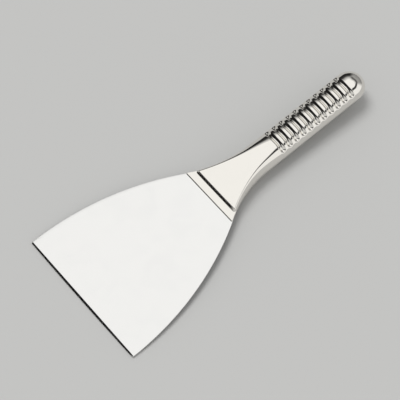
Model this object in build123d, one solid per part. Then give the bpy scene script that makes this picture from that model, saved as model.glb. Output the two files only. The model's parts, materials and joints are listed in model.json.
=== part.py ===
from build123d import *
from build123d.topology import SkipClean
import math
import os

# Triangular spatula, all stainless steel: a flat blade whose tang is held between two stamped
# half shells, which a weld closes along the sides into a hollow, grooved handle.
# It is drawn straight along X, from the cutting edge at x = 0, with z = 0 at the middle of the
# sheet, and laid on a table at the end: cutting edge and handle touch it. Millimetres.

# Blade sheet
blade_width = 110.0
blade_sheet = 2.0
side_arc_radius = 224.0
widest_from_edge = 4.0
front_edge_bow = 0.4
bevel_length = 1.5
edge_land = 0.5

# Tang, the narrow end of the blade sheet inside the handle
tang_width = 16.0
tang_length = 42.0
tang_corner_radius = 4.0

# Handle shells in plan, from the cutting edge
lip_from_edge = 115.8
lip_length = 5.8
lip_corner_radius = 1.4
step_run = 1.3
plan_straight_from_edge = 161.5
flare_end_from_edge = 175.0
overall_length = 262.0
dome_length = 12.5

# Handle shells in section
handle_sheet = 1.0
grip_width = 23.4
grip_height = 21.0
grip_crown_width = 1.6
neck_height = 8.6
neck_shoulder = 2.4
lip_edge_round = 0.4

# Finger grooves, pressed into both shells
groove_count = 11
groove_pitch = 6.6
first_groove_from_edge = 178.0
groove_depth = 1.4
groove_tool_radius = 2.3
groove_half_angle = 38.0

# Weld along the seam, ground flush
weld_depth = 0.5
weld_height = 0.7

# Spot welds that hold the tang between the two lips
spot_count = 4
spot_from_side = 6.0
spot_diameter = 4.0
spot_depth_in_lip = 0.5

# Room that every cutting shape has beyond what it cuts
overrun = 2.0

# How the flare and the dome are divided into sections; the dome's last section is nearly a point
flare_sections = 9
dome_sections = 8
dome_last_share = 0.99

# Sizes that follow from those above
half_sheet = blade_sheet / 2
half_blade = blade_width / 2
half_grip = grip_width / 2
half_grip_height = grip_height / 2
half_crown = grip_crown_width / 2
half_neck_height = neck_height / 2
lip_top = half_sheet + handle_sheet
step_foot = lip_from_edge + lip_length
step_head = step_foot + step_run
cavity_start = step_head + handle_sheet
dome_start = overall_length - dome_length

# The neck arc is tangent to the blade's side arc and to the straight grip
arc_run = plan_straight_from_edge - widest_from_edge
arc_drop = half_blade - half_grip
radii_sum = (arc_run**2 + arc_drop**2) / (2 * arc_drop)
neck_arc_radius = radii_sum - side_arc_radius
arcs_meet = widest_from_edge + side_arc_radius * arc_run / radii_sum


def half_width(x):
    """Half the tool's width in plan: blade side arc, neck arc, then the straight grip."""
    if x < arcs_meet:
        return half_blade - side_arc_radius + math.sqrt(side_arc_radius**2 - (x - widest_from_edge)**2)
    if x < plan_straight_from_edge:
        rise = math.sqrt(neck_arc_radius**2 - (plan_straight_from_edge - x)**2)
        return half_grip + neck_arc_radius - rise
    return half_grip


def flare_share(x):
    """How far x lies along the flare, from 0 at the step to 1 at the round grip."""
    return (x - step_head) / (flare_end_from_edge - step_head)


def half_height(x):
    """Half the handle's thickness, which rises from the neck and levels out at the grip."""
    share = flare_share(x)
    return half_neck_height + (half_grip_height - half_neck_height) * share * (2 - share)


def shoulder_width(x):
    """Width of the rounded side beside the flat top, narrow at the neck and wide at the grip."""
    share = flare_share(x)
    return neck_shoulder + (half_grip - half_crown - neck_shoulder) * share**2


def plan_face(inset=0.0):
    """The whole outline in plan, with every side moved inwards by the inset. The front edge bows
    a little, so that its middle is the foremost point."""
    start = (front_edge_bow, half_width(front_edge_bow) - inset)
    arc_middle = arcs_meet / 2
    meet = (arcs_meet, half_width(arcs_meet) - inset)
    neck_middle = (arcs_meet + plan_straight_from_edge) / 2
    grip_side = half_grip - inset
    left = [
        ThreePointArc(start, (arc_middle, half_width(arc_middle) - inset), meet),
        ThreePointArc(
            meet,
            (neck_middle, half_width(neck_middle) - inset),
            (plan_straight_from_edge, grip_side),
        ),
        Line((plan_straight_from_edge, grip_side), (dome_start, grip_side)),
        EllipticalCenterArc((dome_start, 0), dome_length - inset, grip_side, 0, arc_size=90),
    ]
    right = [mirror(curve, Plane.XZ) for curve in left]
    front = ThreePointArc(start, (0, 0), (front_edge_bow, -start[1]))
    return make_face(Curve() + left + right + [front])


def plan_strip(x_from, x_to, inset=0.0):
    """The part of the plan outline between two distances from the cutting edge."""
    middle = (x_from + x_to) / 2
    window = Pos(middle, 0) * Rectangle(x_to - x_from, blade_width + overrun)
    return plan_face(inset) & window


def slab(face, z_from, z_to):
    """A face in plan made solid between two heights."""
    return extrude(Pos(0, 0, z_from) * face, z_to - z_from)


def half_section(x, width, height, shoulder):
    """Upper half of a cross-section: a flat crown between two quarter ellipses."""
    crown = width - shoulder
    outline = Curve() + [
        EllipticalCenterArc((crown, 0), shoulder, height, 0, arc_size=90),
        Line((crown, height), (-crown, height)),
        EllipticalCenterArc((-crown, 0), shoulder, height, 90, arc_size=90),
        Line((-width, 0), (width, 0)),
    ]
    across = Plane(origin=(x, 0, 0), x_dir=(0, 1, 0), z_dir=(1, 0, 0))
    return across * make_face(outline)


def flare_section(x, inset):
    """Cross-section of the flare at x, outside or, moved in by the sheet, inside."""
    return half_section(x, half_width(x) - inset, half_height(x) - inset, shoulder_width(x) - inset)


def half_handle(start, inset):
    """Upper half of the handle behind the step, as the outside or as the hollow inside."""
    step = (flare_end_from_edge - start) / (flare_sections - 1)
    flare = loft([flare_section(start + step * i, inset) for i in range(flare_sections)])
    end = flare_section(flare_end_from_edge, inset)
    grip = extrude(end, dome_start - flare_end_from_edge, dir=(1, 0, 0))
    rings = []
    for i in range(dome_sections):
        angle = math.asin(dome_last_share) * i / (dome_sections - 1)
        size = math.cos(angle)
        rings.append(
            half_section(
                dome_start + (dome_length - inset) * math.sin(angle),
                (half_grip - inset) * size,
                (half_grip_height - inset) * size,
                (half_grip - half_crown - inset) * size,
            )
        )
    dome = loft(rings)
    return flare + grip + dome


def groove_tool(x, radius):
    """A bar bent round the top of the grip at x, with ball ends."""
    crown_radius = half_grip**2 / half_grip_height
    centre_height = half_grip_height - crown_radius
    top = centre_height + crown_radius + groove_tool_radius - groove_depth
    axis = Axis((x, 0, centre_height), (1, 0, 0))
    section = Plane.XZ * Pos(x, top) * Circle(radius)
    tool = revolve(section.rotate(axis, -groove_half_angle), axis, 2 * groove_half_angle)
    for side in (-1, 1):
        ball = Rot(0, 90, 90 - 90 * side) * Sphere(radius, arc_size3=180)
        tool += (Pos(x, 0, top) * ball).rotate(axis, -side * groove_half_angle)
    return tool


def groove_places():
    """Distance of each groove from the cutting edge."""
    return [first_groove_from_edge + groove_pitch * i for i in range(groove_count)]


def spot_places():
    """Centre of each spot weld, in an even row across the middle of the lip."""
    x = lip_from_edge + lip_length / 2
    end = half_width(x) - spot_from_side
    return [(x, end * (2 * i / (spot_count - 1) - 1)) for i in range(spot_count)]


def spot_welds():
    """Round nuggets of fused metal through the tang and part of the way into each lip."""
    reach = half_sheet + spot_depth_in_lip
    disc = slab(Circle(spot_diameter / 2), -reach, reach)
    return [Pos(x, y, 0) * disc for x, y in spot_places()]


def blade():
    """Blade sheet: the bare blade with its bevelled front edge, and the covered part with the tang.
    The two are one solid, whose faces keep the line across the sheet where the lips begin."""
    tang_end = cavity_start + tang_length
    neck = Pos((cavity_start + tang_end) / 2 - overrun / 2, 0) * Rectangle(tang_length + overrun, tang_width)
    tips = neck.vertices().sort_by(Axis.X)[-2:]
    neck = fillet(tips, tang_corner_radius)
    covered = slab(plan_strip(lip_from_edge, cavity_start) + neck, -half_sheet, half_sheet)
    bare = slab(plan_strip(0, lip_from_edge), -half_sheet, half_sheet)
    rise = blade_sheet - edge_land
    beyond = overrun * rise / bevel_length
    wedge = make_face(
        Polyline(
            (-overrun, half_sheet - rise - beyond),
            (bevel_length + overrun, half_sheet + beyond),
            (-overrun, half_sheet + beyond),
            close=True,
        )
    )
    bevel = extrude(Plane.XZ * wedge, half_blade + overrun, both=True)
    bare -= bevel
    covered -= spot_welds()
    with SkipClean():
        return bare + covered


def outside():
    """Upper half of the handle's outside as one solid, before the grooves: lip, step and body."""
    lip = plan_strip(lip_from_edge, step_foot)
    front = lip.vertices().group_by(Axis.X)[0]
    lip = slab(fillet(front, lip_corner_radius), half_sheet, lip_top)
    foot = half_section(step_foot, half_width(step_foot), lip_top, lip_edge_round)
    step = loft([foot, flare_section(step_head, 0)], ruled=True)
    return lip + step + half_handle(step_head, 0)


def seam_room():
    """Upper half of the room that the weld takes along the rim, open to the outside."""
    rear = overall_length + overrun - cavity_start
    around = Pos(cavity_start + rear / 2, 0) * Rectangle(rear, blade_width)
    inner = plan_strip(cavity_start - overrun, overall_length + overrun, weld_depth)
    return slab(around - inner, 0, weld_height / 2)


def seam_weld(body):
    """Weld bead that fills the seam along both sides and round the butt, ground flush."""
    bead = body & seam_room()
    return bead + mirror(bead, Plane.XY)


def upper_shell(body):
    """Stamped upper half of the handle: lip on the blade, step, flare, grooved grip and dome."""
    tools = [groove_tool(x, groove_tool_radius) for x in groove_places()]
    backs = [groove_tool(x, groove_tool_radius + handle_sheet) for x in groove_places()]
    hollow = half_handle(cavity_start, handle_sheet) - backs
    shell = body - tools - hollow
    shell -= slab(plan_strip(0, cavity_start), 0, half_sheet)
    return shell - seam_room() - spot_welds()


def lying_angle():
    """Angle of the tool on a table, in degrees: a line from the cutting edge that just touches
    the handle's underside, which is the parabola of half_height."""
    start = step_head / (flare_end_from_edge - step_head)
    rise = (half_neck_height - half_sheet) / (half_grip_height - half_neck_height)
    share = math.sqrt(max(start**2 + 2 * start - rise, 0)) - start
    share = min(max(share, 0), 1)
    touch = step_head + (flare_end_from_edge - step_head) * share
    return math.degrees(math.atan((half_height(touch) - half_sheet) / touch))


body = outside()
upper = upper_shell(body)
nodes = {
    "blade": blade(),
    "upper_shell": upper,
    "lower_shell": mirror(upper, Plane.XY),
    "seam_weld": seam_weld(body),
    "tang_spot_welds": Part() + spot_welds(),
}

# Laid on the table, with the origin under the middle of the tool
turn = Rot(0, -lying_angle(), 0)
box = Compound([turn * shape for shape in nodes.values()]).bounding_box()
middle = box.center()
place = Pos(-middle.X, -middle.Y, -box.min.Z) * turn

os.makedirs("parts", exist_ok=True)
for name, shape in nodes.items():
    export_step(place * shape, f"parts/{name}.step")

print("lying angle", lying_angle(), "neck arc radius", neck_arc_radius, "arcs meet at", arcs_meet)
print("size", box.size)
for side in (-half_sheet, half_sheet):
    print("middle of a blade face", (place * Pos(lip_from_edge / 2, 0, side)).position)
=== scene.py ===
# %% [markdown]
# # A triangular spatula in polished steel
#
# The tool is all stainless steel: a flat blade whose tang is held between two stamped half shells,
# which a weld closes into a hollow handle with finger grooves. Polished steel has almost no colour
# of its own. It shows the room, so this lesson spends its effort on two things: surfaces whose
# normals run smoothly, and a plain studio that gives those surfaces something to reflect.
#
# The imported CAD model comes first. It fixes every size and place, and the pieces made here are
# worked out from the same driving dimensions and laid over it.

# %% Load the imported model
import json
import math

import bpy
import numpy as np
from mathutils import Matrix, Vector


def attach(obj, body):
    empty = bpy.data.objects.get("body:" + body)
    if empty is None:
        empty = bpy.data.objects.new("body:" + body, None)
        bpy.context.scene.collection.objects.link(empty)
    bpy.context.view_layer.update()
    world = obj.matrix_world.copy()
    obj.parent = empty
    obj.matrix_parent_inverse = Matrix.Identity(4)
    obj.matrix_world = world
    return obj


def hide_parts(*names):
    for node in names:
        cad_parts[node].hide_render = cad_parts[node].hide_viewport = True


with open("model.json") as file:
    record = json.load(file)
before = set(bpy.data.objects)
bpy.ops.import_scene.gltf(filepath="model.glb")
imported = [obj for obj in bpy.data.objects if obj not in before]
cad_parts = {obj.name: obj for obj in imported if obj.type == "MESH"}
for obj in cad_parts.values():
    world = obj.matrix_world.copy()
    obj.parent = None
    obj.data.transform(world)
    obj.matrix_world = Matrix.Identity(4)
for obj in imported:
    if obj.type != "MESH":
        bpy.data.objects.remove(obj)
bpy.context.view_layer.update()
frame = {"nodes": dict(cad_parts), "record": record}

print("CAD nodes:", sorted(frame["nodes"]))

# %% [markdown]
# ## The tool's own axes
#
# The spatula lies on a table, so its long axis rises a little from the cutting edge to the butt.
# Shapes are far simpler along straight axes: x runs along the tool from the cutting edge, y across
# it, and z is zero at the middle of the blade sheet. All sizes below are millimetres on those axes.
# One function at the end lays points down and turns them into metres. It takes the angle and the
# place from the flat mount on top of the blade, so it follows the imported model.

# %% Sizes of the blade and of the handle in plan
MM = 0.001
blade_width = 110.0
blade_sheet = 2.0
side_arc_radius = 224.0
widest_from_edge = 4.0
front_edge_bow = 0.4
bevel_length = 1.5
edge_land = 0.5
tang_width = 16.0
tang_length = 42.0
tang_corner_radius = 4.0
lip_from_edge = 115.8
lip_length = 5.8
lip_corner_radius = 1.4
step_run = 1.3
plan_straight_from_edge = 161.5
flare_end_from_edge = 175.0
overall_length = 262.0
dome_length = 12.5

# %% Sizes of the handle in section, of its grooves and of its weld
handle_sheet = 1.0
grip_width = 23.4
grip_height = 21.0
grip_crown_width = 1.6
neck_height = 8.6
neck_shoulder = 2.4
groove_count = 11
groove_pitch = 6.6
first_groove_from_edge = 178.0
groove_depth = 1.4
groove_tool_radius = 2.3
groove_half_angle = math.radians(38.0)
weld_depth = 0.5
weld_height = 0.7

# %% Sizes that follow from those above
half_sheet = blade_sheet / 2
half_blade = blade_width / 2
half_grip = grip_width / 2
half_grip_height = grip_height / 2
half_crown = grip_crown_width / 2
half_neck_height = neck_height / 2
half_weld = weld_height / 2
lip_top = half_sheet + handle_sheet
step_foot = lip_from_edge + lip_length
step_head = step_foot + step_run
cavity_start = step_head + handle_sheet
dome_start = overall_length - dome_length
flare_length = flare_end_from_edge - step_head
crown_radius = half_grip**2 / half_grip_height
crown_centre = half_grip_height - crown_radius
arc_run = plan_straight_from_edge - widest_from_edge
arc_drop = half_blade - half_grip
radii_sum = (arc_run**2 + arc_drop**2) / (2 * arc_drop)
neck_arc_radius = radii_sum - side_arc_radius
arcs_meet = widest_from_edge + side_arc_radius * arc_run / radii_sum
print("the neck arc has a radius of", round(neck_arc_radius, 2), "mm")

# %% Lay points on the table
blade_top = next(m for m in frame["record"]["mounts"] if m["name"] == "blade_top")
up = np.array(blade_top["axis"])
across = np.array([0.0, 1.0, 0.0])
along = np.cross(across, up)
tool_origin = np.array(blade_top["pos_m"]) - (lip_from_edge / 2 * along + half_sheet * up) * MM
print("the tool's axis rises by", round(math.degrees(math.asin(along[2])), 3), "degrees")


def lay_down(points):
    """Tool millimetres to metres on the table: origin + x * along + y * across + z * up."""
    return tool_origin + points * MM @ np.stack([along, across, up])


# %% [markdown]
# ## Meshes from grids
#
# A loft through closed rings covers every piece here. `rings` is an array of rows of points, one
# row for each station along the piece, and neighbouring rows are joined by quads. The signed volume
# shows whether the faces look outwards, and the winding is turned round if they don't. Edges that
# bend sharply stay crisp, and everything else is shaded smoothly, which polished metal needs.

# %% Faces between rings of points
def quads_between_rings(stations, ring):
    """Quads that join each ring of points to the next one, closed round the ring."""
    row, column = np.mgrid[: stations - 1, :ring]
    beside = (column + 1) % ring
    here, after = row * ring, (row + 1) * ring
    corners = [here + column, here + beside, after + beside, after + column]
    return np.stack(corners, axis=-1).reshape(-1, 4).tolist()


def closed_tube(rings):
    """The quads between all the rings, and one face across each end."""
    stations, ring = rings.shape[:2]
    first_end = list(range(ring))[::-1]
    last_end = list(range((stations - 1) * ring, stations * ring))
    return quads_between_rings(stations, ring) + [first_end, last_end]


# %% Turn points and faces into a piece that stands for a CAD node
crease_angle = math.radians(70.0)


def signed_volume(mesh):
    """Sixth part of the sum of a . (b x c) over the triangles, positive if the faces look outwards."""
    mesh.calc_loop_triangles()
    corners = np.empty(len(mesh.loop_triangles) * 3, dtype=np.int32)
    mesh.loop_triangles.foreach_get("vertices", corners)
    places = np.empty(len(mesh.vertices) * 3)
    mesh.vertices.foreach_get("co", places)
    a, b, c = places.reshape(-1, 3)[corners.reshape(-1, 3)].transpose(1, 0, 2)
    return np.sum(a * np.cross(b, c)) / 6


def new_piece(name, points, faces, node):
    """Makes a mesh object on the table from tool millimetres, and lets it stand for a CAD node."""
    mesh = bpy.data.meshes.new(name)
    mesh.from_pydata(lay_down(points), [], faces)
    if signed_volume(mesh) < 0:
        mesh.flip_normals()
    mesh.polygons.foreach_set("use_smooth", np.ones(len(mesh.polygons), dtype=bool))
    mesh.set_sharp_from_angle(angle=crease_angle)
    mesh.validate()
    piece = bpy.data.objects.new(name, mesh)
    bpy.context.scene.collection.objects.link(piece)
    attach(piece, "root")
    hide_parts(node)
    volume = signed_volume(mesh) / MM**3
    print(name, "has", len(mesh.loop_triangles), "triangles and", round(volume), "cubic mm")
    return piece


# %% [markdown]
# ## The outline in plan
#
# From above, each side of the tool is one large arc along the blade, then a smaller arc that turns
# the other way into the straight grip. The two arcs are tangent where they meet, which is why the
# smaller radius is worked out and not chosen.

# %% Half the width, anywhere along the tool
def half_width(x):
    """Half the blade's width less the drop of its arc, then the neck's arc, then the grip."""
    from_widest = np.minimum(x, arcs_meet) - widest_from_edge
    blade_arc = half_blade - side_arc_radius + np.sqrt(side_arc_radius**2 - from_widest**2)
    to_grip = np.clip(plan_straight_from_edge - x, 0, neck_arc_radius)
    neck_arc = half_grip + neck_arc_radius - np.sqrt(neck_arc_radius**2 - to_grip**2)
    return np.where(x < arcs_meet, blade_arc, neck_arc)


# %% [markdown]
# ## The blade
#
# The blade is one ground sheet, 2 mm thick. Its side edges are broken with a fine radius, and the
# front is ground to a short bevel that leaves a land of half a millimetre. A ring of points round
# the sheet's section, carried from the cutting edge to the end of the tang, makes it in one grid.
# The cutting edge bows forwards a little, so the rings of the bevel are bent back towards the
# corners. Each ring keeps its number of points however narrow it is, so the tang needs no mesh of
# its own.

# %% Points round the blade's section
edge_radius = 0.22
columns_across = 24
corner_steps = 5


def blade_ring(x, width, top):
    """One ring at x: across the top face, round one side edge, back along the underside, and up.

    Each rounded edge is a quarter circle: y goes with the sine of the turn and z with its cosine.
    """
    flat = width - edge_radius
    turn = np.linspace(0, math.pi / 2, corner_steps)
    y_side = flat + edge_radius * np.sin(turn)
    z_upper = top - edge_radius + edge_radius * np.cos(turn)
    z_lower = -half_sheet + edge_radius - edge_radius * np.cos(turn)
    face = np.linspace(-flat, flat, columns_across)[1:-1]
    y = np.concatenate([face, y_side, y_side[::-1], -face, -y_side, -y_side[::-1]])
    z_top = np.full(len(face), top)
    z_bottom = np.full(len(face), -half_sheet)
    z = np.concatenate([z_top, z_upper, z_lower[::-1], z_bottom, z_lower, z_upper[::-1]])
    return np.stack([np.full(len(y), x), y, z], axis=1)


# %% Stations along the blade and the tang, closest together at both ends of the bevel
bevel_rows = bevel_length * np.array([0.0, 0.04, 0.2, 0.5, 0.8, 0.94, 1.0, 1.06, 1.2])
flat_start = bevel_length * 1.4
flat_rows = np.linspace(flat_start, cavity_start, 90)
tang_end = cavity_start + tang_length
tang_turn = np.linspace(0, math.pi / 2, 9)
tang_rows = tang_end - tang_corner_radius * (1 - np.sin(tang_turn))
tang_widths = tang_width / 2 - tang_corner_radius * (1 - np.cos(tang_turn))
print("rows along the blade:", len(bevel_rows) + len(flat_rows), "and at the tang's end:", len(tang_rows))


# %% Carry the section along them and bow the front edge
bevel_rise = blade_sheet - edge_land


def blade_top_at(x):
    """The top face, or below it the bevel that rises from the land to the full sheet."""
    return np.minimum(half_sheet, -half_sheet + edge_land + bevel_rise * x / bevel_length)


def bow_front(rings):
    """Moves points back by the bow times the square of y over half the blade's width.

    The move fades to nothing where the bevel ends. Each point also rises, by its share of the
    thickness times the change of the top face between its old place and its new one.
    """
    x, y, z = rings.transpose(2, 0, 1)
    back = front_edge_bow * (y / half_blade) ** 2 * np.clip(1 - x / bevel_length, 0, 1)
    through = (z + half_sheet) / (blade_top_at(x) + half_sheet)
    raised = z + through * (blade_top_at(x + back) - blade_top_at(x))
    return np.stack([x + back, y, raised], axis=2)


sheet_rows = np.concatenate([bevel_rows, flat_rows])
blade_rings = [blade_ring(x, half_width(x), blade_top_at(x)) for x in sheet_rows]
blade_rings += [blade_ring(cavity_start + edge_radius, tang_width / 2, half_sheet)]
blade_rings += [blade_ring(x, width, half_sheet) for x, width in zip(tang_rows, tang_widths)]
blade_rings = bow_front(np.array(blade_rings))
blade_faces = closed_tube(blade_rings)
blade = new_piece("polished_blade", blade_rings.reshape(-1, 3), blade_faces, "blade")

# %% [markdown]
# ## The handle's surface
#
# Each half shell is pressed from 1 mm sheet. Cut across anywhere, it is a flat crown between two
# quarter ellipses. Three functions of x set that section: its half width, its height and the width
# of its rounded shoulder. The shoulder is crisp at the neck and takes the whole side at the grip.
#
# In front of the flare the sheet steps down to the flat lip. The step is a short ramp whose line in
# plan turns round a corner at each side. A soft minimum and a soft maximum join the ramp to the lip
# and to the flare, which gives the bend radii that a press tool leaves.

# %% Height and shoulder of the flare's section
def soft_min(a, b, softness):
    """The smaller of two values, rounded off where they are closer than the softness."""
    near = np.maximum(softness - np.abs(a - b), 0) / softness
    return np.minimum(a, b) - near**2 * softness / 4


def soft_max(a, b, softness):
    """The larger of two values, rounded off in the same way."""
    return -soft_min(-a, -b, softness)


def quarter_round(distance, radius):
    """How far an edge falls away at a distance from it, along a quarter circle of that radius."""
    inside = np.clip(1 - distance / radius, 0, 1)
    return radius * (1 - np.sqrt(1 - inside**2))


def flare_share(x):
    """How far x lies along the flare, from 0 at the step to 1 at the round grip."""
    return np.clip((x - step_head) / flare_length, 0, 1)


def flare_height(x):
    """Half the handle's thickness: a parabola that rises from the neck and levels out at the grip."""
    share = flare_share(x)
    return half_neck_height + (half_grip_height - half_neck_height) * share * (2 - share)


def shoulder_width(x):
    """Width of the rounded side, which grows with the square of the share."""
    return neck_shoulder + (half_grip - half_crown - neck_shoulder) * flare_share(x) ** 2


# %% Height of the lip and of the step behind it
bend_softness = 0.35
step_corner_radius = 3.2
lip_front_round = 0.85


def lip_and_step(x, from_side):
    """The lip's flat top with its rounded front edge, then the ramp, which starts later at the sides."""
    lip = lip_top - quarter_round(x - lip_from_edge, lip_front_round)
    foot = step_foot + quarter_round(from_side, step_corner_radius)
    ramp = lip_top + (half_neck_height - lip_top) * (x - foot) / step_run
    return soft_max(lip, ramp, bend_softness)


# %% [markdown]
# ## The finger grooves
#
# Each groove is pressed by a bar with ball ends, bent round the crown. Real sheet doesn't follow the
# bar with a sharp rim: it bends over into the groove and out again. A raised cosine of the distance
# from the groove's centre line has just that form. It is level at the bottom and at the rim, and it
# is steepest halfway, where the polished wall catches the dark side of the room. The distance also
# counts past the end of the centre line, so the same formula rounds the ends.

# %% Depth of the nearest groove
groove_half_width = math.sqrt(groove_tool_radius**2 - (groove_tool_radius - groove_depth) ** 2)
rim_bend = 0.6
end_bend = math.radians(3.5)
cosine_half_width = groove_half_width + rim_bend
print("a groove is", round(2 * groove_half_width, 2), "mm wide")


def groove_sink(x, angle):
    """Half the groove's depth times one plus the cosine of pi times distance over half width."""
    nearest = np.clip(np.round((x - first_groove_from_edge) / groove_pitch), 0, groove_count - 1)
    beside = x - (first_groove_from_edge + groove_pitch * nearest)
    past_end = crown_radius * np.maximum(np.abs(angle) - groove_half_angle - end_bend, 0)
    reach = np.minimum(np.hypot(beside, past_end) / cosine_half_width, 1)
    return groove_depth * (1 + np.cos(math.pi * reach)) / 2


def press_grooves(x, y, z):
    """Draws each point towards the crown's centre by the depth of the groove there."""
    radius = np.hypot(y, z - crown_centre)
    angle = np.arctan2(y, z - crown_centre)
    sunk = groove_sink(x, angle)
    return (radius - sunk) * np.sin(angle), crown_centre + (radius - sunk) * np.cos(angle), sunk


# %% [markdown]
# ## Rows along the handle
#
# Rows of points are close together where the surface turns quickly: at the lip's front corners, at
# the step, and across each groove. Along the flare they are further apart. The dome is a quarter
# turn, so its rows follow an angle. The wall is solid over the blade and hollow behind it, and a
# row on each side of a very narrow ledge makes that change.

# %% Stations from the lip to the flare
lip_shares = np.array([0, 0.02, 0.07, 0.15, 0.25, 0.37, 0.5, 0.62, 0.8, 1])
lip_rows = lip_from_edge + lip_corner_radius * lip_shares
collar_rows = np.linspace(lip_rows[-1], step_foot - bend_softness, 5)[1:]
step_rows = np.linspace(step_foot - bend_softness, cavity_start, 25)[1:-1]
ledge = 0.01
flare_row_gap = 0.3
flare_rows = np.linspace(cavity_start + ledge, flare_end_from_edge - flare_row_gap, 44)
print("rows at the lip and the step:", len(lip_rows) + len(collar_rows) + len(step_rows))

# %% Stations across the grooves and round the dome
in_groove = np.linspace(-cosine_half_width, cosine_half_width, 25)
over_ridge = np.linspace(cosine_half_width, groove_pitch - cosine_half_width, 6)[1:-1]
groove_centres = first_groove_from_edge + groove_pitch * np.arange(groove_count)
grip_rows = (groove_centres[:, None] + np.concatenate([in_groove, over_ridge])).ravel()
last_rows = np.linspace(grip_rows[-1], dome_start, 6)[1:]
before_flare = np.concatenate([lip_rows, collar_rows, step_rows, [cavity_start]])
tube_rows = np.concatenate([before_flare, flare_rows, grip_rows, last_rows])
dome_turns = np.linspace(0, 1, 26)[1:]
print("rows along the handle:", len(tube_rows), "and in the dome:", len(dome_turns))

# %% Columns round one half of the section, closest together where the grooves end
groove_end_low = 0.32
groove_end_high = 0.60
side_columns = np.linspace(0.0, groove_end_low, 10)[:-1]
end_columns = np.linspace(groove_end_low, groove_end_high, 31)[:-1]
top_columns = np.linspace(groove_end_high, 1.0, 12)
climb = np.concatenate([side_columns, end_columns, top_columns])
crown_columns = 6
print("columns from one side of the shell to the other:", 2 * len(climb) + crown_columns)


# %% Points across one skin of the shell
def skin(inset, foot):
    """Grid of points on the outside (inset 0) or on the inside (inset of one sheet) of a shell.

    Half a section starts on its quarter ellipse at the height of the foot, climbs to the crown and
    goes on to the middle; the other half is its mirror image. In the dome, all three sizes shrink
    with the cosine of the turn while x grows with its sine. The lip and the step cap the height.
    """
    smallest = (half_grip_height - inset) * np.cos(math.pi / 2 * dome_turns[-1])
    last_turn = math.acos(max(foot[-1], smallest) / (half_grip_height - inset))
    turn = dome_turns * last_turn
    x = np.concatenate([tube_rows, dome_start + (dome_length - inset) * np.sin(turn)])
    shrink = np.concatenate([np.ones(len(tube_rows)), np.cos(turn)])
    side = half_width(x) - quarter_round(x - lip_from_edge, lip_corner_radius)
    width = (side - inset) * shrink
    height = (flare_height(x) - inset) * shrink
    shoulder = (shoulder_width(x) - inset) * shrink
    start = np.arcsin(np.clip(foot / height, 0, 1))
    turn_up = start[:, None] + (math.pi / 2 - start)[:, None] * climb
    y_side = (width - shoulder)[:, None] + shoulder[:, None] * np.cos(turn_up)
    z_side = height[:, None] * np.sin(turn_up)
    y_crown = (width - shoulder)[:, None] * np.linspace(1, -1, crown_columns + 2)[1:-1]
    z_crown = np.repeat(height[:, None], crown_columns, axis=1)
    y = np.concatenate([y_side, y_crown, -y_side[:, ::-1]], axis=1)
    z = np.concatenate([z_side, z_crown, z_side[:, ::-1]], axis=1)
    x = np.repeat(x[:, None], y.shape[1], axis=1)
    cap = lip_and_step(x, side[:, None] - np.abs(y)) - inset
    capped = np.maximum(soft_min(z, cap, bend_softness), foot[:, None])
    z = np.where(x < flare_end_from_edge - bend_softness, capped, z)
    y, z, sunk = press_grooves(x, y, z)
    return np.stack([x, y, z], axis=2), sunk


# %% [markdown]
# ## Two skins make a shell
#
# The shell has a wall, so it gets an outer skin, an inner skin and a rim between them. Over the
# blade the wall is solid down to the sheet. Behind the blade the outer half of the rim stops short
# of the middle plane to leave room for the weld, and the inner half meets the other shell.

# %% The rims, and the faces that close the wall at both ends
handle_rows = len(tube_rows) + len(dome_turns)
on_blade = np.arange(handle_rows) < np.searchsorted(tube_rows, cavity_start + ledge / 2)


def rim(edge, within):
    """Two points a row: level from the outer edge to the notch, then down to the sheet or the seam.

    The notch lies at half of the way inwards on the blade, and at the weld's depth behind it.
    """
    share = np.where(on_blade, 0.5, weld_depth / handle_sheet)[:, None]
    notch = edge + (within - edge) * share
    foot = notch.copy()
    notch[:, 2] = edge[:, 2]
    foot[:, 2] = np.where(on_blade, half_sheet, 0.0)
    return np.stack([notch, foot], axis=1)


def end_faces(columns):
    """Quads from the outer skin across to the inner one, on the first ring and on the last.

    Round a ring lie the outer columns, two rim points, the inner columns backwards and two more.
    """
    ring = 2 * columns + 4
    column = np.arange(columns - 1)
    opposite = 2 * columns + 1 - column
    across = np.stack([column, column + 1, opposite - 1, opposite], axis=1)
    at_rims = [[columns - 1, columns, columns + 1, columns + 2], [0, 2 * columns + 1, ring - 2, ring - 1]]
    strip = np.concatenate([across, at_rims])
    return strip[:, ::-1].tolist() + (strip + (handle_rows - 1) * ring).tolist()


# %% Close the wall of a half shell
def half_shell(name, node, side):
    """Rings round the wall's section: outer skin, one rim, inner skin backwards, the other rim.

    A side of 1 makes the upper shell, and -1 mirrors the same rings into the lower one. How deep
    each point lies in a groove, from 0 to 1, is kept with the mesh for the material.
    """
    outer, sunk = skin(0.0, np.where(on_blade, half_sheet, half_weld))
    inner, _ = skin(handle_sheet, np.zeros(handle_rows))
    inner[on_blade] = outer[on_blade]
    inner[on_blade, :, 2] = half_sheet
    right_rim = rim(outer[:, -1], inner[:, -1])
    left_rim = rim(outer[:, 0], inner[:, 0])[:, ::-1]
    rings = np.concatenate([outer, right_rim, inner[:, ::-1], left_rim], axis=1)
    rings = rings * np.array([1.0, 1.0, side])
    faces = quads_between_rings(handle_rows, rings.shape[1]) + end_faces(outer.shape[1])
    piece = new_piece(name, rings.reshape(-1, 3), faces, node)
    flat_rim = np.zeros((handle_rows, 2))
    depth = np.concatenate([sunk, flat_rim, sunk[:, ::-1], flat_rim], axis=1)
    attribute = piece.data.attributes.new("groove", "FLOAT", "POINT")
    attribute.data.foreach_set("value", np.clip(depth / groove_depth, 0, 1).ravel())
    return piece


upper_shell = half_shell("polished_upper_shell", "upper_shell", 1.0)
lower_shell = half_shell("polished_lower_shell", "lower_shell", -1.0)

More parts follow.
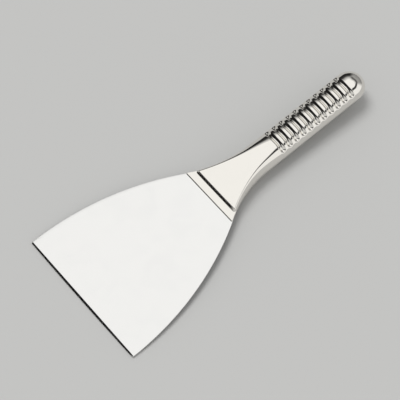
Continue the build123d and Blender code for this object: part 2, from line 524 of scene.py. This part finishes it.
# %% [markdown]
# ## The weld
#
# The two shells are welded along both sides and round the butt, and the bead is ground flush and
# polished over. It is a narrow strip carried along the outline in plan: down one side, round the
# dome and back up the other side.

# %% Carry the weld's section along the seam
side_stations = np.linspace(cavity_start, dome_start, 90)[:-1]
butt_turns = np.linspace(0, math.pi / 2, 28)


def seam_line(depth):
    """Points of the seam in plan at a depth under the surface, from one side round to the other."""
    x = np.concatenate([side_stations, dome_start + (dome_length - depth) * np.sin(butt_turns)])
    y = np.concatenate([half_width(side_stations) - depth, (half_grip - depth) * np.cos(butt_turns)])
    return np.concatenate([x, x[-2::-1]]), np.concatenate([y, -y[-2::-1]])


def seam_row(depth, height):
    """The same points in space, at a height over the middle plane."""
    x, y = seam_line(depth)
    return np.stack([x, y, np.full(len(x), height)], axis=1)


outer_side = [(0.0, -half_weld), (0.0, 0.0), (0.0, half_weld)]
inner_side = [(weld_depth, half_weld), (weld_depth, -half_weld)]
weld_rings = np.stack([seam_row(depth, height) for depth, height in outer_side + inner_side], axis=1)
weld_faces = closed_tube(weld_rings)
weld = new_piece("ground_weld", weld_rings.reshape(-1, 3), weld_faces, "seam_weld")

# %% [markdown]
# ## Polished steel
#
# Mirror-like steel is never a perfect mirror. A polishing wheel leaves fine parallel lines, hands
# and cloths leave faint marks that mostly change how sharp a reflection is, and use adds a few hair
# scratches. Each of these is a node group that puts out a height or a mask, and the three finishes
# share the groups. Blade, handle and weld differ in colour, in roughness and in how fine and deep
# their lines are. The metal's colour stays nearly even, because wear on steel is mostly roughness.
# The bottoms of the grooves are a little rougher, because a polishing wheel hardly reaches them.

# %% A short way to write node groups
def new_group(name, inputs, outputs):
    """An empty shader node group with named sockets, and its input and output nodes."""
    group = bpy.data.node_groups.new(name, "ShaderNodeTree")
    for label, kind, value in inputs:
        socket = group.interface.new_socket(label, in_out="INPUT", socket_type=kind)
        if value is not None:
            socket.default_value = value
    for label, kind in outputs:
        group.interface.new_socket(label, in_out="OUTPUT", socket_type=kind)
    return group, group.nodes.new("NodeGroupInput"), group.nodes.new("NodeGroupOutput")


def add(tree, kind, settings=None, **links):
    """Adds a node, sets its properties, then links or sets its inputs by name."""
    node = tree.nodes.new(kind)
    for key, value in (settings or {}).items():
        setattr(node, key, value)
    for key, value in links.items():
        socket = node.inputs[int(key[1:])] if key[0] == "i" and key[1:].isdigit() else node.inputs[key]
        if isinstance(value, bpy.types.NodeSocket):
            tree.links.new(value, socket)
        else:
            socket.default_value = value
    return node


# %% Group: fine parallel lines from the polishing wheel
def polishing_lines():
    """Noise at place times density: a low density along x and a high one across it draw lines."""
    group, given, result = new_group(
        "polishing lines",
        [("Vector", "NodeSocketVector", None), ("Density", "NodeSocketVector", (40.0, 4000.0, 4000.0))],
        [("Height", "NodeSocketFloat")],
    )
    place, density = given.outputs["Vector"], given.outputs["Density"]
    stretched = add(group, "ShaderNodeVectorMath", {"operation": "MULTIPLY"}, i0=place, i1=density)
    grain = add(group, "ShaderNodeTexNoise", Vector=stretched.outputs[0], Scale=1.0, Roughness=0.6)
    group.links.new(grain.outputs["Fac"], result.inputs["Height"])
    return group


lines_group = polishing_lines()

# %% Group: cloudy marks from hands and cloths
smooth = {"interpolation_type": "SMOOTHSTEP"}


def handling_marks():
    """Cloudy noise, of which only the upper part shows, faded in smoothly."""
    group, given, result = new_group(
        "handling marks",
        [("Vector", "NodeSocketVector", None), ("Size", "NodeSocketFloat", 60.0)],
        [("Mask", "NodeSocketFloat")],
    )
    place, size = given.outputs["Vector"], given.outputs["Size"]
    cloud = add(group, "ShaderNodeTexNoise", Vector=place, Scale=size, Detail=5.0, Distortion=0.6)
    mask = add(group, "ShaderNodeMapRange", smooth, i0=cloud.outputs["Fac"], i1=0.42, i2=0.72)
    group.links.new(mask.outputs[0], result.inputs["Mask"])
    return group


marks_group = handling_marks()


# %% Group: a few hair scratches
def hair_scratches():
    """Noise that is turned a little and stretched into streaks, of which only the peaks show."""
    group, given, result = new_group(
        "hair scratches",
        [
            ("Vector", "NodeSocketVector", None),
            ("Stretch", "NodeSocketVector", (25.0, 900.0, 900.0)),
            ("Turn", "NodeSocketFloat", 0.3),
        ],
        [("Mask", "NodeSocketFloat")],
    )
    place, turn, stretch = (given.outputs[label] for label in ("Vector", "Turn", "Stretch"))
    about_z = {"rotation_type": "Z_AXIS"}
    turned = add(group, "ShaderNodeVectorRotate", about_z, Vector=place, Angle=turn)
    drawn = add(group, "ShaderNodeVectorMath", {"operation": "MULTIPLY"}, i0=turned.outputs[0], i1=stretch)
    finely = {"Scale": 1.0, "Detail": 1.0, "Distortion": 0.4}
    streaks = add(group, "ShaderNodeTexNoise", Vector=drawn.outputs[0], **finely)
    mask = add(group, "ShaderNodeMapRange", smooth, i0=streaks.outputs["Fac"], i1=0.70, i2=0.76)
    group.links.new(mask.outputs[0], result.inputs["Mask"])
    return group


scratch_group = hair_scratches()
print("shared node groups:", [group.name for group in bpy.data.node_groups])

# %% How much each mask changes the steel
marks_tone = 0.18
marks_roughness = 0.05
scratch_roughness = 0.10
groove_roughness = 0.04
scratch_cut = -0.6
relief_height = 0.02 * MM


# %% The three steel finishes
def steel(name, colour, shade, base_roughness, line_density, line_bump):
    """Polished steel from the masks.

    The colour goes from the first tone towards the second by a share of the marks. The roughness
    is the base plus a share of each mask, and the relief is the lines less the scratches.
    """
    material = bpy.data.materials.new(name)
    material.use_nodes = True
    tree = material.node_tree
    shader = tree.nodes["Principled BSDF"]
    shader.inputs["Metallic"].default_value = 1.0
    place = tree.nodes.new("ShaderNodeTexCoord").outputs["Object"]
    lines = add(tree, "ShaderNodeGroup", {"node_tree": lines_group}, Vector=place, Density=line_density)
    marks = add(tree, "ShaderNodeGroup", {"node_tree": marks_group}, Vector=place)
    hairs = add(tree, "ShaderNodeGroup", {"node_tree": scratch_group}, Vector=place)
    groove = add(tree, "ShaderNodeAttribute", {"attribute_name": "groove"})
    tone = add(tree, "ShaderNodeMapRange", i0=marks.outputs[0], i3=0.0, i4=marks_tone)
    colours = {"i6": (*colour, 1.0), "i7": (*shade, 1.0)}
    mixed = add(tree, "ShaderNodeMix", {"data_type": "RGBA"}, i0=tone.outputs[0], **colours)
    tree.links.new(mixed.outputs[2], shader.inputs["Base Color"])
    roughness = base_roughness
    rougher_by = [
        (marks.outputs[0], marks_roughness),
        (hairs.outputs[0], scratch_roughness),
        (groove.outputs["Fac"], groove_roughness),
    ]
    for mask, share in rougher_by:
        more = add(tree, "ShaderNodeMath", {"operation": "MULTIPLY_ADD"}, i0=mask, i1=share, i2=roughness)
        roughness = more.outputs[0]
    tree.links.new(roughness, shader.inputs["Roughness"])
    cut_by = {"i0": hairs.outputs[0], "i1": scratch_cut, "i2": lines.outputs[0]}
    relief = add(tree, "ShaderNodeMath", {"operation": "MULTIPLY_ADD"}, **cut_by)
    bump = add(tree, "ShaderNodeBump", Height=relief.outputs[0], Strength=line_bump, Distance=relief_height)
    tree.links.new(bump.outputs[0], shader.inputs["Normal"])
    return material


blade_finish = steel(
    "ground_and_polished_blade_steel",
    colour=(0.86, 0.855, 0.845),
    shade=(0.80, 0.80, 0.80),
    base_roughness=0.10,
    line_density=(60.0, 2500.0, 2500.0),
    line_bump=0.25,
)
handle_finish = steel(
    "polished_handle_steel",
    colour=(0.86, 0.835, 0.79),
    shade=(0.80, 0.78, 0.74),
    base_roughness=0.06,
    line_density=(60.0, 2500.0, 2500.0),
    line_bump=0.15,
)
weld_finish = steel(
    "ground_weld_steel",
    colour=(0.80, 0.79, 0.77),
    shade=(0.70, 0.69, 0.67),
    base_roughness=0.16,
    line_density=(60.0, 3000.0, 3000.0),
    line_bump=0.30,
)

# %% Dress the pieces and the spot welds, which keep their CAD shape inside the handle
blade.data.materials.append(blade_finish)
upper_shell.data.materials.append(handle_finish)
lower_shell.data.materials.append(handle_finish)
weld.data.materials.append(weld_finish)
spot_welds = frame["nodes"]["tang_spot_welds"]
spot_welds.data.materials.clear()
spot_welds.data.materials.append(weld_finish)

# %% [markdown]
# ## Floor, light and room
#
# The floor is plain and pale, and one large soft lamp gives it a gentle shadow. The lamp is hidden
# from reflections, so the metal mirrors only the floor and the backdrop.

# %% The floor
floor_size = 6.0
reach = floor_size / 2
floor_mesh = bpy.data.meshes.new("floor")
floor_corners = [(-reach, -reach, 0), (reach, -reach, 0), (reach, reach, 0), (-reach, reach, 0)]
floor_mesh.from_pydata(floor_corners, [], [(0, 1, 2, 3)])
floor = bpy.data.objects.new("floor", floor_mesh)
bpy.context.scene.collection.objects.link(floor)
floor_paint = bpy.data.materials.new("pale_floor")
floor_paint.use_nodes = True
paint = floor_paint.node_tree.nodes["Principled BSDF"].inputs
paint["Base Color"].default_value = (0.52, 0.52, 0.51, 1.0)
paint["Roughness"].default_value = 0.9
paint["Specular IOR Level"].default_value = 0.1
floor_mesh.materials.append(floor_paint)
print("the floor is", floor_size, "m across")

# %% The soft lamp
lamp_direction = Vector((0.06, -0.38, -0.92))
lamp_data = bpy.data.lights.new("soft_lamp", "SUN")
lamp_data.energy = 1.5
lamp_data.angle = math.radians(28.0)
lamp = bpy.data.objects.new("soft_lamp", lamp_data)
lamp.rotation_mode = "QUATERNION"
lamp.rotation_quaternion = lamp_direction.to_track_quat("-Z", "Y")
lamp.visible_glossy = False
bpy.context.scene.collection.objects.link(lamp)
print("the lamp's disc is", round(math.degrees(lamp_data.angle)), "degrees wide")

# %% [markdown]
# ## A room for the steel to mirror
#
# A mirror in an all pale room looks like white plastic, so a photographer of cutlery puts black
# cards and a bright ceiling round the object. The same is done here. What reflections see is the
# pale backdrop, made darker or brighter by a panel for each side of the room. A panel's brightness
# is given by stops from below the horizon to overhead.
#
# Angles round the room start behind the butt and grow to the left or to the right. A dim panel
# hangs behind the butt, and a dark one on the left. At the front left a card is black nearly up to
# the ceiling. From straight ahead to the front right such a card hangs high, with light under it,
# so that the flat blade stays bright when it is seen from behind the butt. The grooves mirror these
# cards as black stripes. On the right hangs a bright panel with one dark band, and the stretch
# between it and the high card is left open.

# %% Angles of a direction in the room
world = bpy.data.worlds.new("studio")
world.use_nodes = True
bpy.context.scene.world = world
room = world.node_tree
room.nodes.clear()
direction = room.nodes.new("ShaderNodeTexCoord").outputs["Generated"]
towards_axes = add(room, "ShaderNodeSeparateXYZ", i0=direction)
x_share, y_share, z_share = towards_axes.outputs
upwards = add(room, "ShaderNodeMath", {"operation": "ARCSINE"}, i0=z_share)
elevation = add(room, "ShaderNodeMath", {"operation": "DEGREES"}, i0=upwards.outputs[0])
around = add(room, "ShaderNodeMath", {"operation": "ARCTAN2"}, i0=y_share, i1=x_share)
to_left = add(room, "ShaderNodeMath", {"operation": "DEGREES"}, i0=around.outputs[0])
to_right = add(room, "ShaderNodeMath", {"operation": "MULTIPLY"}, i0=to_left.outputs[0], i1=-1.0)

# %% Helpers for panels round the room
lowest_stop = -30.0
overhead = 90.0


def panel(stops):
    """Share of the backdrop's brightness by (degrees over the horizon, share) stops."""
    climb = add(room, "ShaderNodeMapRange", i0=elevation.outputs[0], i1=lowest_stop, i2=overhead)
    ramp = add(room, "ShaderNodeValToRGB", i0=climb.outputs[0])
    steps = ramp.color_ramp.elements
    while len(steps) < len(stops):
        steps.new(0.5)
    for step, (degrees, share) in zip(steps, stops):
        step.position = (degrees - lowest_stop) / (overhead - lowest_stop)
        step.color = (share, share, share, 1.0)
    return ramp.outputs["Color"]


def towards(angle, start, end):
    """Mask that grows from 0 to 1 between two angles round the room."""
    return add(room, "ShaderNodeMapRange", smooth, i0=angle.outputs[0], i1=start, i2=end).outputs[0]


def blend(mask, first, second):
    """Goes from the first colour to the second as the mask grows."""
    return add(room, "ShaderNodeMix", {"data_type": "RGBA"}, i0=mask, i6=first, i7=second).outputs[2]


# %% Hang the panels, which fade into each other
ceiling = 1.28
behind_butt = panel([(-5, 0.28), (34, 0.48), (40, 0.14), (46, 0.14), (53, 0.85), (60, ceiling)])
left_panel = panel([(0, 0.02), (20, 0.03), (31, 0.08), (40, 0.45), (52, 0.90), (61, ceiling)])
right_panel = panel([(-20, 0.70), (-5, 1.18), (38, 1.21), (42, 0.05), (52, 0.05), (56, ceiling)])
front_card = panel([(0, 0.012), (46, 0.016), (57, 1.05), (62, ceiling)])
high_card = panel([(-5, 0.75), (19, 0.80), (26, 0.02), (46, 0.016), (57, 1.05), (62, ceiling)])
open_side = panel([(-5, 0.75), (10, 0.80), (45, 1.00), (62, ceiling)])
hung = [
    (to_left, 23.0, 44.0, left_panel),
    (to_left, 108.0, 126.0, front_card),
    (to_left, 168.0, 178.0, high_card),
    (to_right, 15.0, 40.0, right_panel),
    (to_right, 88.0, 104.0, open_side),
    (to_right, 108.0, 128.0, high_card),
]
panels = behind_butt
for angle, fades_from, full_from, next_panel in hung:
    panels = blend(towards(angle, fades_from, full_from), panels, next_panel)
print("panels round the room:", len(hung) + 1)

# %% Show the backdrop to the camera and to mirrors, and give plain light to everything else
pale = (0.80, 0.80, 0.79, 1.0)
soft_light = (0.62, 0.62, 0.62, 1.0)
rays = room.nodes.new("ShaderNodeLightPath").outputs
mirrored = add(room, "ShaderNodeMath", i0=rays["Is Glossy Ray"], i1=rays["Is Transmission Ray"])
seen = add(room, "ShaderNodeMath", i0=rays["Is Camera Ray"], i1=mirrored.outputs[0])
strength = blend(mirrored.outputs[0], (1.0, 1.0, 1.0, 1.0), panels)
backdrop = add(room, "ShaderNodeBackground", Color=pale, Strength=strength)
plain_light = add(room, "ShaderNodeBackground", Color=soft_light, Strength=1.0)
lit = {"i0": seen.outputs[0], "i1": plain_light.outputs[0], "i2": backdrop.outputs[0]}
shown = add(room, "ShaderNodeMixShader", **lit)
add(room, "ShaderNodeOutputWorld", Surface=shown.outputs[0])

# %% [markdown]
# ## The camera
#
# The camera was fitted to the photograph by the tool's outline: it looks down from in front of the
# blade's right corner with a long lens, and it is rolled by a few degrees.

# %% Place the camera
picture_width = 400.0
focal_pixels = 1591.0
camera_place = Vector((-359.2, -340.4, 1016.8)) * MM
camera_target = Vector((-18.2, 5.5, 0.0)) * MM
camera_roll = math.radians(4.304)
camera_data = bpy.data.cameras.new("camera")
camera_data.lens = focal_pixels / picture_width * camera_data.sensor_width
camera_data.clip_end = 20.0
camera = bpy.data.objects.new("camera", camera_data)
aim = (camera_target - camera_place).to_track_quat("-Z", "Y").to_matrix().to_4x4()
camera.matrix_world = Matrix.Translation(camera_place) @ aim @ Matrix.Rotation(camera_roll, 4, "Z")
bpy.context.scene.collection.objects.link(camera)
bpy.context.scene.camera = camera
bpy.context.scene.view_settings.view_transform = "Standard"
print("focal length:", round(camera_data.lens, 1), "mm")
